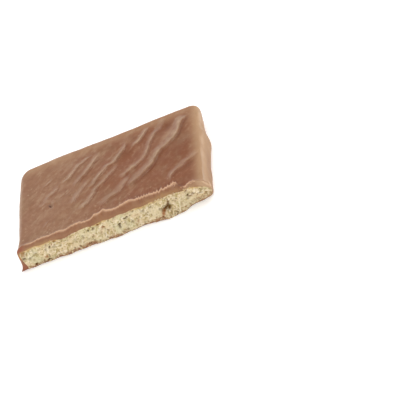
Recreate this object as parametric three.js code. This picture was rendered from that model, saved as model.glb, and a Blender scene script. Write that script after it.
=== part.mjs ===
// Half of a square graham cracker, enrobed in milk chocolate and snapped across.
//
// Millimetres, +Z up. +X runs along the snapped edge and +Y from the snapped face to the
// unbroken back wall. Everything is shaped with the biscuit's snapped face at y = 0 and the
// underside at z = 0, and the finished group is then set with its origin at the bottom centre.
//
// Two solids: the chocolate coating, a closed tray-and-lid of one piece that is open only at
// the snap, and the baked biscuit that fills it and shows its crumb there.

import * as THREE from 'three';

// ---------------------------------------------------------------- driving dimensions

const WIDTH = 54.4; // left wall to right wall, at their widest
const DEPTH = 31.9; // biscuit's snapped face to the back wall
const HEIGHT = 7.4; // underside to the coating's flat top, without its ripples
const CORNER = 3.4; // plan radius of the two unbroken corners

const TOP_COAT = 1.1; // chocolate over, under and beside the biscuit
const BASE_COAT = 0.5;
const SIDE_COAT = 0.8;
const FIT_GAP = 0.25; // clearance between the two solids

const BELLY = 3.4; // height at which the walls stand out furthest
const SHOULDER = { run: 1.6, power: 2.4 }; // where the top turns down into the wall
const RIGHT_CREASE = 0.15; // share by which the right shoulder is tighter
const UNDERCUT = { run: 1.5, power: 2.1 }; // where the wall turns under
const BISCUIT_SHOULDER = { run: 1.1, power: 2.4 };
const BISCUIT_UNDERCUT = { run: 1.0, power: 2.2 };

// Fullness of the walls: places along each, and how far it stands out beyond the plain outline.
const LEFT_WALL = [[0, 0.75], [1.2, 0.5], [3, 0.2], [5, 0.1], [9, 0.3], [19, 0.5], [25, 0.45], [30, 0.1]];
const RIGHT_WALL = [[0, -0.1], [6, -0.1], [13.5, 0], [16.5, 0.25], [19.4, 0.27], [21.2, -0.05], [28, 0]];
const BACK_WALL = [[-26, -0.4], [-22.5, -0.05], [-15, 0.45], [-8, 0.45], [2, 0.05], [27, 0]];
const LUMPS = { size: 0.1, pitch: 15.3, second: 6.5, secondSize: 0.07, beat: 27, slant: 1.3, onSides: 0.35 };
// Run out round the left side: it thins, to a share, towards the back.
const LEFT_FOOT = { reach: 2.9, height: 1.2, wave: 0.15, pitch: 14, thinFrom: 18, thinTo: 0.5 };
const BACK_FOOT = { reach: 0.5, height: 0.9, pitch: 17, beat: 30 };
// The rear of the right wall falls back under itself, between these heights.
const LEAN = { slope: 0.3, below: 6.3, downTo: 2.5, startY: 19, fullY: 27 };

// The biscuit's core lies a little further left than the walls' middle, most at the snap.
const CORE_LEFT = { all: 0.5, atSnap: 0.35, length: 2.2 };

// The snap. Each is a list of x and how far behind y = 0 the place lies.
const LIP = [ // broken edge of the top
  [-27.2, 0.35], [-25.6, 0.7], [-22.6, 0.55], [-20, 0.8], [-16.3, 0.6], [-12.5, 0.65], [-10.8, 1.3],
  [-8.8, 1.4], [-8, 1], [-5.6, 1], [-4.7, 2], [-3, 2], [-2, 2.7], [-0.9, 1.9], [1.8, 1.25],
  [4.3, 2.1], [6.2, 2.05], [7.5, 1.5], [14, 1.4], [18.2, 2.3], [19.9, 0.2], [21.3, -0.6],
  [22.5, 0.7], [24.1, -0.25], [26, -0.8],
];
const FOOT = [ // the face at the underside
  [-19, 0], [-14.5, -0.3], [-6, -0.4], [0, -0.7], [2.5, -0.35], [8.6, -0.3], [10.2, -0.85],
  [14.8, -1.15], [17.8, -0.6], [19.6, 0.3], [24, 1.1], [25.5, 1.4], [27.3, 2.6],
];
// The lip's shape starts and is whole this far under and over the biscuit's top and the
// coating's. Round the left shoulder it weakens, from this many shoulders' width, to a share.
const LIP_ZONE = { under: 0.5, below: 0.2, shoulders: 1.4, share: 0.35 };
const FOOT_HEIGHT = 1; // up to here the foot's shape is whole, and at the belly it is gone
const FACE_WAVE = { size: 0.12, pitch: 4.8 };
const SNAP_DECAY = 9; // the snap's shape dies away this far behind it
// The biscuit's upper edge at the snap: x, and how far it lies off its usual height. That dies
// away between the two distances behind the snap.
const UPPER_EDGE = [
  [-18, -0.1], [-16, -0.35], [-14, -0.85], [-11, -0.3], [-8, -0.15], [2, -0.25], [16, -0.05],
  [20, -0.3], [22, -0.15], [24, -0.95], [26.4, -2.2],
];
const EDGE_FADE = { from: 1, to: 4 };

// The top: slow unevenness first.
const SWELL = { size: 0.1, pitchX: 27, pitchY: 33, second: 20, secondSize: 0.05, slant: 1.6 };
const BURR = { rise: 0.25, width: 0.45 }; // upturned rim along the snapped edge
const PIT = { x: -17.3, y: 12.3, breadth: 0.5, length: 1.0, depth: 0.45 }; // burst bubble
const HOLLOWS = [ // between the ripples
  { x: 17.4, y: 25.9, radius: 2.0, depth: 0.26 },
  { x: 6.2, y: 19.9, radius: 2.4, depth: 0.16 },
  { x: 9.6, y: 22.4, radius: 1.6, depth: 0.12 },
  { x: 15, y: 15, radius: 1.6, depth: 0.12 },
  { x: 12.6, y: 9.5, radius: 1.8, depth: 0.1 },
  { x: -1, y: 24.5, radius: 2.6, depth: 0.14 },
];

// Ripples that the blown chocolate set in: a few plan points of each crest, the width of its
// long back on the left, and its rise. The front on its right is steep.
const STEEP = 0.45; // front width as a share of the back width
const BACK_POWER = 1.5; // how the back climbs to the crest
const FADE = 2.4; // length over which each end rises
const RIPPLES = [
  { width: 1.8, rise: 0.34, crest: [[17, 30], [13.4, 24], [11.2, 18.2], [7, 14.5], [3, 11.9]] },
  { width: 2.9, rise: 0.62, crest: [[24.6, 28], [21.5, 24.9], [20, 21], [14.3, 16], [12.6, 12.9], [4.9, 7.6]] },
  { width: 2.2, rise: 0.42, crest: [[6.3, 11.9], [2.5, 7.2], [0, 6.2], [-3, 3.8]] },
  { width: 1.6, rise: 0.4, crest: [[5.6, 26.2], [3.2, 21.4], [-0.4, 18.8], [-4.8, 13.8], [-6.8, 12.9]] },
  { width: 1.5, rise: 0.32, crest: [[3, 18.2], [-1.6, 13.5], [-4.6, 10], [-9.6, 5.5]] },
  { width: 1.7, rise: 0.42, crest: [[-2.2, 26.4], [-5.1, 21.6], [-8.6, 17.8], [-10.6, 15.8]] },
  { width: 1.5, rise: 0.34, crest: [[-4.6, 26.4], [-9.2, 23.3], [-12.2, 19.8], [-14.5, 19]] },
  { width: 1.6, rise: 0.42, crest: [[12.6, 29], [9.5, 24.6], [6.6, 22.6]] },
  { width: 1.9, rise: 0.36, crest: [[26, 11.4], [22, 9], [18.6, 6.6], [16.5, 3.4]] },
  { width: 1.6, rise: 0.3, crest: [[-5.6, 16.6], [-9, 12.3], [-11.4, 9]] },
  { width: 1.6, rise: 0.26, crest: [[-14.6, 19.6], [-17.8, 15.8], [-21, 12.6]] },
  { width: 0.9, rise: 0.22, crest: [[-16.4, 23], [-20, 20.3]] },
  { width: 0.8, rise: 0.2, crest: [[-11, 15.6], [-13, 13.6]] },
  { width: 0.7, rise: 0.18, crest: [[-12.6, 15.4], [-14.8, 13.5]] },
  { width: 0.9, rise: 0.18, crest: [[-10.8, 6], [-12.6, 3.6]] },
  { width: 0.8, rise: 0.18, crest: [[-17.4, 7], [-19.6, 4]] },
];

// Crumb of the snapped face: crags placed by a seeded rule, and one crevice across the layers,
// given by height above the underside, its middle x and its half width.
const CRAG_COUNT = 260;
const CRAG = { smallest: 0.45, largest: 1.3, depth: 0.32 };
const CREVICE = {
  middle: [[0.5, 11.7], [1.5, 12.2], [2.4, 12.7], [3.3, 13.9], [4.4, 14.6], [5.6, 14.9]],
  breadth: [[0.5, 0.7], [2.4, 0.8], [3.3, 1.2], [4.4, 0.8], [5.6, 0.7]],
  depth: 0.6,
};

// Mesh steps. The back and sides of what is hidden inside the coating need fewer.
const OUTSIDE = { across: 64, along: 36, flat: 1, upper: 5, lower: 4 };
const INSIDE = { across: 28, along: 16, upper: 5, lower: 4 };
const FACE_STEPS = OUTSIDE.across + 2 * OUTSIDE.flat + 2; // columns of the snapped face

// ---------------------------------------------------------------- small helpers

const { PI, SQRT2, cos, exp, hypot, max, min, sin } = Math;
const mix = (a, b, t) => a + (b - a) * t;
const ramp = (x, low, high) => {
  const t = min(1, max(0, (x - low) / (high - low)));
  return t * t * (3 - 2 * t);
};
const bell = (x, centre, width) => exp(-(((x - centre) / width) ** 2));
const wave = (x, pitch) => sin((2 * PI * x) / pitch);

// A smooth curve through [place, value] points, level beyond its ends.
function course(points, at) {
  const last = points.length - 1;
  const x = min(points[last][0], max(points[0][0], at));
  let k = 0;
  while (k + 1 < last && points[k + 1][0] <= x) k++;
  const slope = (n) => {
    const [a, b] = [points[max(0, n - 1)], points[min(last, n + 1)]];
    return (b[1] - a[1]) / (b[0] - a[0]);
  };
  const [[x0, v0], [x1, v1]] = [points[k], points[k + 1]];
  const t = (x - x0) / (x1 - x0);
  const bend = slope(k) * t * (1 - t) ** 2 - slope(k + 1) * t * t * (1 - t);
  return v0 * (1 + 2 * t) * (1 - t) ** 2 + v1 * t * t * (3 - 2 * t) + (x1 - x0) * bend;
}

// A repeatable random source, so that the crags are the same each time.
function seededRandom(seed) {
  let state = seed;
  return () => {
    state = (Math.imul(state, 1664525) + 1013904223) >>> 0;
    return state / 2 ** 32;
  };
}

// ---------------------------------------------------------------- relief of the top

// A plan point's place along the ripples' general run, and across it.
const turned = ([x, y]) => [(x + y) / SQRT2, (x - y) / SQRT2];

const ripples = RIPPLES.map(({ crest, width, rise }) => {
  const line = crest.map(turned).sort((a, b) => a[0] - b[0]);
  return { line, first: line[0][0], last: line.at(-1)[0], width, rise };
});

function rippleHeight({ line, first, last, width, rise }, x, y) {
  const [along, across] = turned([x, y]);
  const ends = ramp(along, first, first + FADE) * ramp(last - along, 0, FADE);
  const off = across - course(line, along);
  const back = max(0, min(1, 1 + off / width)) ** BACK_POWER;
  const front = 1 - ramp(off, 0, width * STEEP);
  return rise * ends * (off < 0 ? back : front);
}

function topHeight(x, y) {
  const slow = wave(x, SWELL.pitchX) * cos((2 * PI * y) / SWELL.pitchY);
  let z = HEIGHT + SWELL.size * slow + SWELL.secondSize * wave(x + SWELL.slant * y, SWELL.second);
  for (const ripple of ripples) z += rippleHeight(ripple, x, y);
  for (const h of HOLLOWS) z -= h.depth * exp(-((hypot(x - h.x, y - h.y) / h.radius) ** 2));
  const [down, over] = [(x - PIT.x) / 2 - (y - PIT.y), x - PIT.x + (y - PIT.y) / 2];
  z -= PIT.depth * exp(-((hypot(down / PIT.length, over / PIT.breadth)) ** 2));
  return z + BURR.rise * exp(-max(0, y - course(LIP, x)) / BURR.width);
}

// ---------------------------------------------------------------- shape of the snap

// Where the biscuit's face lies behind y = 0.
function faceSetback(x, z) {
  return FACE_WAVE.size * wave(x, FACE_WAVE.pitch) + course(FOOT, x) * (1 - ramp(z, FOOT_HEIGHT, BELLY));
}

// The snapped edge of the coating at one place on its outline: the lip's shape on top, weaker
// down over the left shoulder, and the face's below.
function snapSetback(x, z) {
  const up = ramp(z, HEIGHT - TOP_COAT - LIP_ZONE.under, HEIGHT - LIP_ZONE.below);
  const overShoulder = ramp(-x, WIDTH / 2 - LIP_ZONE.shoulders * SHOULDER.run, WIDTH / 2);
  return mix(faceSetback(x, z), course(LIP, x) * mix(1, LIP_ZONE.share, overShoulder), up);
}

// The height of a place on the biscuit's face, once its uneven upper edge is allowed for.
const faceHeight = (x, z) => z + course(UPPER_EDGE, x) * ramp(z, BELLY, HEIGHT - TOP_COAT);

// ---------------------------------------------------------------- shape of the walls

function wallLump(x, y, z) {
  const s = x + LUMPS.slant * y;
  const second = wave(s - z, LUMPS.second) * wave(s, LUMPS.beat);
  return LUMPS.size * wave(s + LUMPS.slant * z, LUMPS.pitch) + LUMPS.secondSize * second;
}

// How far the wall stands out beyond the plain outline at a place that faces (nx, ny).
function wallReach(x, y, z, nx, ny) {
  const [left, right] = [max(0, -nx), max(0, nx)];
  const swell = course(LEFT_WALL, y) * left + course(RIGHT_WALL, y) * right + course(BACK_WALL, x) * ny;
  const uneven = 1 - LEFT_FOOT.wave * (1 - cos((2 * PI * y) / LEFT_FOOT.pitch));
  const thin = mix(1, LEFT_FOOT.thinTo, ramp(y, LEFT_FOOT.thinFrom, DEPTH));
  const leftFoot = LEFT_FOOT.reach * uneven * thin * exp(-z / LEFT_FOOT.height);
  const ooze = 0.5 + 0.5 * wave(x + 2, BACK_FOOT.pitch) * wave(x + 10, BACK_FOOT.beat);
  const backFoot = BACK_FOOT.reach * ooze * exp(-z / BACK_FOOT.height);
  const lump = wallLump(x, y, z) * mix(1, LUMPS.onSides, left + right);
  return lump + swell + left * leftFoot + ny * backFoot;
}

function wallLean(y, z, nx) {
  const fall = LEAN.slope * max(0, LEAN.below - max(z, LEAN.downTo));
  return fall * ramp(y, LEAN.startY, LEAN.fullY) * max(0, nx) ** 2;
}

// ---------------------------------------------------------------- outlines and wall levels

// A tray-shaped envelope: the coating's outside, the coating's inside, or the biscuit.
function envelope(shrink, topZ, baseZ, shoulder, undercut, steps) {
  return {
    width: WIDTH - 2 * shrink,
    depth: DEPTH - shrink,
    corner: CORNER - 0.5 * shrink,
    topZ, baseZ, shoulder, undercut, steps,
  };
}

// Point k of the U-shaped outline that runs up the left side, along the back and down the
// right side, `inset` inside the widest one, with the direction that faces out.
function outlinePoint(e, k, inset) {
  const { along, across } = e.steps;
  if (k > along + across) {
    const p = outlinePoint(e, 2 * along + across - k, inset);
    return { x: -p.x, y: p.y, nx: -p.nx, ny: p.ny };
  }
  const r = max(e.corner - inset, 1e-6);
  const side = e.depth - e.corner;
  const back = e.width - 2 * e.corner;
  const eighth = (r * PI) / 4;
  const cornerX = e.width / 2 - e.corner;
  const arc = (angle, flip) => ({
    x: flip * (cornerX + r * cos(angle)), y: side + r * sin(angle),
    nx: flip * cos(angle), ny: sin(angle),
  });
  if (k <= along) {
    const s = (k / along) * (side + eighth);
    return s <= side ? { x: -cornerX - r, y: s, nx: -1, ny: 0 } : arc((s - side) / r, -1);
  }
  const s = ((k - along) / across) * (back + 2 * eighth);
  if (s < eighth) return arc(PI / 4 + s / r, -1);
  if (s <= eighth + back) return { x: -cornerX + s - eighth, y: side + r, nx: 0, ny: 1 };
  return arc(PI / 2 - (s - eighth - back) / r, 1);
}

// Insets and heights from the start of the shoulder, round the belly, to the underside.
function wallLevels(e) {
  const levels = [];
  for (let n = 0; n <= e.steps.upper; n++) {
    const a = (n / e.steps.upper) * (PI / 2);
    const inset = e.shoulder.run * (1 - sin(a) ** (2 / e.shoulder.power));
    levels.push({ inset, z: mix(BELLY, e.topZ, cos(a) ** (2 / e.shoulder.power)) });
  }
  for (let n = 1; n <= e.steps.lower; n++) {
    const a = (n / e.steps.lower) * (PI / 2);
    const inset = e.undercut.run * (1 - cos(a) ** (2 / e.undercut.power));
    levels.push({ inset, z: mix(BELLY, e.baseZ, sin(a) ** (2 / e.undercut.power)) });
  }
  return levels;
}

// ---------------------------------------------------------------- mesh assembly

class Skin {
  points = [];
  triangles = [];
  add(x, y, z) {
    return this.points.push([x, y, z]) - 1;
  }
  // Fills a grid of vertex numbers, rows from front to back, seen from above. The quads are
  // split along the way the ripples run.
  sheet(rows) {
    for (let j = 0; j + 1 < rows.length; j++) {
      const [front, rear] = [rows[j], rows[j + 1]];
      for (let i = 0; i + 1 < front.length; i++) {
        this.triangles.push([front[i], front[i + 1], rear[i + 1]], [front[i], rear[i + 1], rear[i]]);
      }
    }
  }
  // Joins two equally long rows of vertex numbers by a band of quads.
  band(a, b) {
    for (let k = 0; k + 1 < a.length; k++) {
      this.triangles.push([a[k], b[k], b[k + 1]], [a[k], b[k + 1], a[k + 1]]);
    }
  }
  // Joins two rows of vertex numbers that start and end together and differ in length.
  zip(a, b) {
    let [i, j] = [0, 0];
    while (i + 1 < a.length || j + 1 < b.length) {
      const stepA = j + 1 === b.length || (i + 1 < a.length && (i + 1) / a.length < (j + 1) / b.length);
      const triangle = [a[i], b[j], stepA ? a[i + 1] : b[j + 1]];
      if (new Set(triangle).size === 3) this.triangles.push(triangle);
      if (stepA) i++;
      else j++;
    }
  }
  geometry() {
    const g = new THREE.BufferGeometry();
    g.setAttribute('position', new THREE.Float32BufferAttribute(this.points.flat(), 3));
    g.setIndex(this.triangles.flat());
    g.computeVertexNormals();
    return g;
  }
}

// Sets a point's y so that y = 0 moves back to the snap and the shift dies away behind it.
const snapped = (y, setback) => y + setback * (1 - ramp(y, 0, SNAP_DECAY));

// The rows of one envelope's wall, as vertex numbers: rows[level][station].
function wallRows(skin, e, place) {
  const count = 2 * e.steps.along + e.steps.across;
  return wallLevels(e).map(({ inset, z }) =>
    Array.from({ length: count + 1 }, (_, k) => skin.add(...place(outlinePoint(e, k, inset), inset, z))),
  );
}

// The closed loop of an envelope at the snap, from the left end of the underside, up the left
// wall, over the top and down to the right end, then back along the underside.
function snapLoop(rows, topRow, baseRow) {
  const left = rows.map((row) => row[0]).reverse();
  const right = rows.map((row) => row.at(-1));
  return [...left, ...topRow.slice(1, -1), ...right, ...baseRow.slice(1, -1).reverse()];
}

// A row of vertices across the snap at height z, between two vertices that are already there.
function rowAcross(skin, first, last, z, setback, height = () => z) {
  const [x0, x1] = [skin.points[first][0], skin.points[last][0]];
  const row = [first];
  for (let c = 1; c < FACE_STEPS; c++) {
    const x = mix(x0, x1, c / FACE_STEPS);
    row.push(skin.add(x, setback(x, z), height(x, z)));
  }
  return [...row, last];
}

// ---------------------------------------------------------------- the coating

// Outer surface: rippled top grid, shoulder, wall and flat underside.
function coatingOutside(skin) {
  const e = envelope(0, HEIGHT, 0, SHOULDER, UNDERCUT, OUTSIDE);
  const { across, along, flat } = OUTSIDE;

  const place = ({ x: px, y: py, nx, ny }, inset, z) => {
    const upper = z > BELLY;
    const near = upper ? 1 - ramp(inset, SHOULDER.run / 4, SHOULDER.run) : 1;
    let push = (wallReach(px, py, z, nx, ny) - wallLean(py, z, nx)) * near;
    if (upper) {
      const crease = RIGHT_CREASE * min(inset, SHOULDER.run) * max(0, nx) ** 2;
      push += crease * (1 - ramp(inset, SHOULDER.run, CORNER));
    }
    const x = px + nx * push;
    const y = snapped(py + ny * push, snapSetback(x, z));
    const relief = upper ? (topHeight(x, y) - HEIGHT) * ramp(inset, 0, SHOULDER.run) : 0;
    return [x, y, z + relief];
  };

  const grid = [];
  for (let j = 0; j <= along; j++) {
    grid.push([]);
    for (let i = 0; i <= across; i++) {
      const x = mix(-1, 1, i / across) * (e.width / 2 - e.corner);
      const y = snapped((j / along) * (e.depth - e.corner), snapSetback(x, HEIGHT));
      grid[j].push(skin.add(x, y, topHeight(x, y)));
    }
  }
  skin.sheet(grid);

  // The grid's border, then the level rings out to the shoulder, then the wall.
  const border = [
    ...grid.map((row) => row[0]),
    ...grid[along].slice(1, -1),
    ...grid.map((row) => row[across]).reverse(),
  ];
  const rings = [border];
  for (let n = 1; n < flat + 1; n++) {
    const inset = mix(e.corner, SHOULDER.run, n / (flat + 1));
    rings.push(border.map((_, k) => skin.add(...place(outlinePoint(e, k, inset), inset, HEIGHT))));
  }
  const walls = wallRows(skin, e, place);
  const all = [...rings, ...walls];
  for (let n = 0; n + 1 < all.length; n++) skin.band(all[n + 1], all[n]);

  const base = walls.at(-1);
  const baseRow = rowAcross(skin, base[0], base.at(-1), 0, snapSetback);
  skin.zip(baseRow, base);

  const topRow = [
    ...rings.slice(1).reverse().map((r) => r[0]),
    ...grid[0],
    ...rings.slice(1).map((r) => r.at(-1)),
  ];
  return snapLoop(walls, [null, ...topRow, null], baseRow);
}

// The biscuit's envelope, or the coating's cavity round it.
function core(gap) {
  const [topZ, baseZ] = [HEIGHT - TOP_COAT - gap, BASE_COAT + gap];
  return envelope(SIDE_COAT + gap, topZ, baseZ, BISCUIT_SHOULDER, BISCUIT_UNDERCUT, INSIDE);
}

// Walls, top and underside of a core, and the rows above and below its face at the snap.
function coreSurface(skin, gap) {
  const e = core(gap);
  const place = ({ x: px, y: py, nx, ny }, _inset, z) => {
    const fall = wallLean(py, z, nx);
    const further = CORE_LEFT.all + CORE_LEFT.atSnap * bell(py, 0, CORE_LEFT.length);
    const x = px - nx * fall - further * max(0, -nx);
    const y = snapped(py - ny * fall, faceSetback(x, z));
    return [x, y, mix(faceHeight(x, z), z, ramp(y, EDGE_FADE.from, EDGE_FADE.to))];
  };
  const walls = wallRows(skin, e, place);
  for (let n = 0; n + 1 < walls.length; n++) skin.band(walls[n + 1], walls[n]);
  const [top, base] = [walls[0], walls.at(-1)];
  const topRow = rowAcross(skin, top[0], top.at(-1), e.topZ, faceSetback, faceHeight);
  const baseRow = rowAcross(skin, base[0], base.at(-1), e.baseZ, faceSetback);
  skin.zip(top, topRow);
  skin.zip(baseRow, base);
  return { walls, topRow, baseRow };
}

function coatingGeometry() {
  const skin = new Skin();
  const outer = coatingOutside(skin);

  const inner = new Skin();
  const { walls, topRow, baseRow } = coreSurface(inner, 0);
  const shift = skin.points.length;
  skin.points.push(...inner.points);
  // The cavity's faces look into it, so they are turned round.
  skin.triangles.push(...inner.triangles.map(([a, b, c]) => [a + shift, c + shift, b + shift]));
  const hollow = snapLoop(walls, topRow, baseRow).map((v) => v + shift);

  skin.band([...outer, outer[0]], [...hollow, hollow[0]]); // the snapped edge of the chocolate
  return skin.geometry();
}

// ---------------------------------------------------------------- the biscuit

// Crags left by the snap: seeded bumps and hollows, and the crevice.
function crumbRelief() {
  const random = seededRandom(7);
  const crags = Array.from({ length: CRAG_COUNT }, () => ({
    x: mix(-0.5, 0.5, random()) * WIDTH,
    z: mix(BASE_COAT, HEIGHT - TOP_COAT, random()),
    radius: mix(CRAG.smallest, CRAG.largest, random()),
    depth: mix(-CRAG.depth, CRAG.depth, random()),
  }));
  return (x, z) => {
    let y = 0;
    for (const c of crags) y += c.depth * exp(-((hypot(x - c.x, z - c.z) / c.radius) ** 2));
    return y + CREVICE.depth * bell(x, course(CREVICE.middle, z), course(CREVICE.breadth, z));
  };
}

function biscuitGeometry() {
  const skin = new Skin();
  const { walls, topRow, baseRow } = coreSurface(skin, FIT_GAP);
  const crumb = crumbRelief();
  const craggy = (x, z) => faceSetback(x, z) + crumb(x, z);
  const levels = wallLevels(core(FIT_GAP));
  const last = levels.length - 1;
  const rows = levels.map(({ z }, n) => {
    if (n === 0) return topRow;
    if (n === last) return baseRow;
    return rowAcross(skin, walls[n][0], walls[n].at(-1), z, craggy, faceHeight);
  });
  for (let n = 0; n < last; n++) skin.band(rows[n], rows[n + 1]);
  return skin.geometry();
}

// ---------------------------------------------------------------- the object

const chocolate = new THREE.MeshStandardMaterial({ color: 0x96694f, roughness: 0.42, metalness: 0 });
const bakedCrumb = new THREE.MeshStandardMaterial({ color: 0xcdb992, roughness: 0.95, metalness: 0 });

const coating = new THREE.Mesh(coatingGeometry(), chocolate);
coating.name = 'chocolate_coating';

const biscuit = new THREE.Mesh(biscuitGeometry(), bakedCrumb);
biscuit.name = 'graham_biscuit';

const cracker = new THREE.Group();
cracker.name = 'graham_cracker_half';
cracker.add(coating, biscuit);

// Origin at the bottom centre of the finished shape.
const bounds = new THREE.Box3().setFromObject(cracker);
const centre = bounds.getCenter(new THREE.Vector3());
cracker.children.forEach((mesh) => mesh.position.set(-centre.x, -centre.y, -bounds.min.z));

export default cracker;
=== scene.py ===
import math

import bmesh
import bpy
import numpy as np
from mathutils import Matrix, Vector


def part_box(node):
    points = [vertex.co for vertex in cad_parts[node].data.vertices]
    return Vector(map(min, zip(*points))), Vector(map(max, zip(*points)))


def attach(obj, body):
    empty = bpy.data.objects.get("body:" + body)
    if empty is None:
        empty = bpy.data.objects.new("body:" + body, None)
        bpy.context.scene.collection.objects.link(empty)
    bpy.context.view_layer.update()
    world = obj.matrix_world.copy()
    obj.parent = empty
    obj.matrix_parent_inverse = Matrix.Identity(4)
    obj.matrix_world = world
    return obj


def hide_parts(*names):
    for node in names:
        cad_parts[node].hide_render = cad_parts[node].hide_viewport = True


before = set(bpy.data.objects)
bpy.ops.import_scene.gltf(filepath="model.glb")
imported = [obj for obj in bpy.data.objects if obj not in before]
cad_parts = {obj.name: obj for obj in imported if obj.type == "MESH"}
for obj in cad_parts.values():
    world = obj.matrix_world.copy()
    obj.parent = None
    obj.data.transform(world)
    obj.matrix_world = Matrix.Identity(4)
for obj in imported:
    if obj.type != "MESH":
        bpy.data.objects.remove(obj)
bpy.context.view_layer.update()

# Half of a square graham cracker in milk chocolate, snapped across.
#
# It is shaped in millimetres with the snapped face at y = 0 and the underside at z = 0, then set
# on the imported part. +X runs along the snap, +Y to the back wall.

MM = 0.001

# ---- driving dimensions, mm

WIDTH, DEPTH, HEIGHT = 54.4, 31.9, 7.4
CORNER = 3.4  # radius of the rear corners
TOP_COAT, BASE_COAT, SIDE_COAT = 1.1, 0.5, 0.8  # of chocolate
BELLY = 3.4  # height at which the walls are fullest
SHOULDER, UNDERCUT = (1.6, 2.4), (1.5, 2.1)  # over and under the belly: run, power
RIGHT_CREASE = 0.15  # the right shoulder is this much tighter
BISCUIT_SHOULDER, BISCUIT_UNDERCUT = (1.1, 2.4), (0.5, 2.2)
SNAP_DECAY = 9.0  # the snap's unevenness dies out over this depth
LEFT_FOOT = (2.9, 1.2)  # reach, height
LEAN = (0.3, 6.3, 2.5)  # slope of the right wall's rear under itself, between these heights
CORE_LEFT = 0.5  # the core lies this much further left, and at the snap a little more
CORE_FLARE = (0.6, 2.2)  # size, length
CORE_TUCK = 1.0  # away from the snap the core's foot lies this much further in

# Fullness of the walls: place along each, and how far it stands out beyond the plain outline.
LEFT_WALL = [(0, 0.75), (1.2, 0.5), (3, 0.2), (5, 0.1), (9, 0.3), (19, 0.5), (25, 0.45), (30, 0.1)]
RIGHT_WALL = [
    (0, -0.5), (2.5, -0.6), (7, -0.45), (11, -0.45), (16, -0.1), (19.4, 0.25), (21.2, -0.05),
    (28, 0),
]
BACK_WALL = [
    (-26, -0.4), (-22.5, -0.05), (-15, 0.45), (-8, 0.4), (-3, 0), (1, -0.6), (7, -0.6), (12, -0.2),
    (27, 0),
]

# The snapped edge of the top: x, and how far behind the biscuit's face it lies.
LIP = [
    (-27.2, 0.35), (-25.6, 0.6), (-22.6, 0.5), (-20, 0.75), (-16.3, 0.6), (-15, 0.95),
    (-12.5, 0.65), (-10.8, 1.3), (-8.8, 1.4), (-8, 1.0), (-5.6, 1.0), (-4.7, 2.0), (-3, 2.0),
    (-2, 2.7), (-0.9, 1.9), (1.8, 1.25), (4.3, 2.1), (6.2, 2.05), (7.5, 1.5), (14, 1.4), (17, 1.9),
    (18.2, 2.3), (18.9, 1.7), (19.6, 0.3), (20.8, -0.35), (22.4, 0.45), (24.1, 0), (24.9, -0.3),
    (26, -0.8), (27.2, -0.8),
]
# How pale the broken lip is, scuffed and with a painted highlight on its burr: x, share.
LIP_PALE = [
    (-27.2, 0), (-25.2, 0.1), (-23.8, 0.8), (-16, 0.9), (-6, 1), (5, 1), (18.4, 1), (18.9, 0.4),
    (19.3, 0), (20.2, 0.2), (20.9, 0.8), (23.7, 0.8), (24.3, 0.1), (27, 0),
]

END_LINE = [(3.2, 27.0), (4.4, 26.6), (5.5, 26.2), (7, 25.7)]  # painted highlight line down the right end: z, x

STEEP = 0.17  # a ripple's front width as a share of its back width
FADE = 2.4  # length over which its ends rise
STREAKS = 0.28  # strength of the faint streaks between the ripples
# Each ripple: plan points of its crest, width of its back, rise, how pale its lower and upper end
# are with painted highlight.
RIPPLES = [
    ([(17, 30), (15.6, 26.7), (13.4, 24), (12.3, 21.4), (11.2, 18.2), (10, 16.6), (7, 14.5),
      (3, 11.9)], 1.8, 0.34, 0.75, 0.4),
    ([(23.6, 27.3), (21.5, 24.9), (20, 21), (17.4, 18.4), (14.3, 16), (12.6, 12.9), (10.4, 11),
      (8, 9.2), (4.9, 7.6)], 2.9, 0.62, 0.3, 1.0),
    ([(6.3, 11.9), (4.4, 9.5), (2.5, 7.2), (0, 6.2), (-3, 3.8)], 2.2, 0.36, 0.05, 0.75),
    ([(5.6, 26.2), (4.7, 23.3), (3.2, 21.4), (1.3, 19.4), (-0.4, 18.8), (-1.7, 17.4), (-3.7, 15.2),
      (-4.8, 13.8), (-6.8, 12.9)], 1.6, 0.4, 0.5, 0.8),
    ([(3, 18.2), (1, 15.8), (-1.6, 13.5), (-3.6, 11.9), (-4.6, 10), (-6.5, 7.7), (-9.6, 5.5)],
     1.5, 0.32, 0.55, 0.4),
    ([(-2.2, 26.4), (-3.4, 24.3), (-5.1, 21.6), (-6.6, 19.6), (-8.6, 17.8), (-10.6, 15.8)],
     1.7, 0.4, 0.15, 0.9),
    ([(-4.6, 26.4), (-7.2, 24.8), (-9.2, 23.3), (-10.6, 21.4), (-12.2, 19.8), (-14.5, 19)],
     1.5, 0.3, 0.5, 0.5),
    ([(12.6, 29), (10.8, 26.4), (9.5, 24.6), (8.2, 23.5), (6.6, 22.6)], 1.7, 0.34, 0.8, 0.55),
    ([(26, 11.4), (23.6, 9.9), (22, 9.0), (20.4, 7.6), (18.6, 6.6), (16.5, 3.4)],
     1.9, 0.36, 0.3, 0.75),
    ([(-5.6, 16.6), (-7.6, 14.2), (-9, 12.3), (-10.2, 10.4), (-11.4, 9)], 1.6, 0.26, 0.45, 0.4),
    ([(-14.6, 19.6), (-15.7, 17.4), (-17.8, 15.8), (-19, 13.8), (-21, 12.6)], 1.6, 0.26, 0.3, 0.35),
    ([(-16.4, 23), (-18, 21.7), (-20, 20.3)], 0.9, 0.22, 0.5, 0.5),
    ([(-11, 15.6), (-12.2, 14.3), (-13, 13.6)], 0.8, 0.2, 0.6, 0.6),
    ([(-12.6, 15.4), (-13.9, 14.1), (-14.8, 13.5)], 0.7, 0.18, 0.6, 0.6),
    ([(-10.8, 6), (-11.6, 4.4), (-12.6, 3.6)], 0.9, 0.18, 0.3, 0.3),
    ([(-17.4, 7), (-18.6, 5), (-19.6, 4)], 0.8, 0.18, 0.3, 0.3),
]
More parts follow.
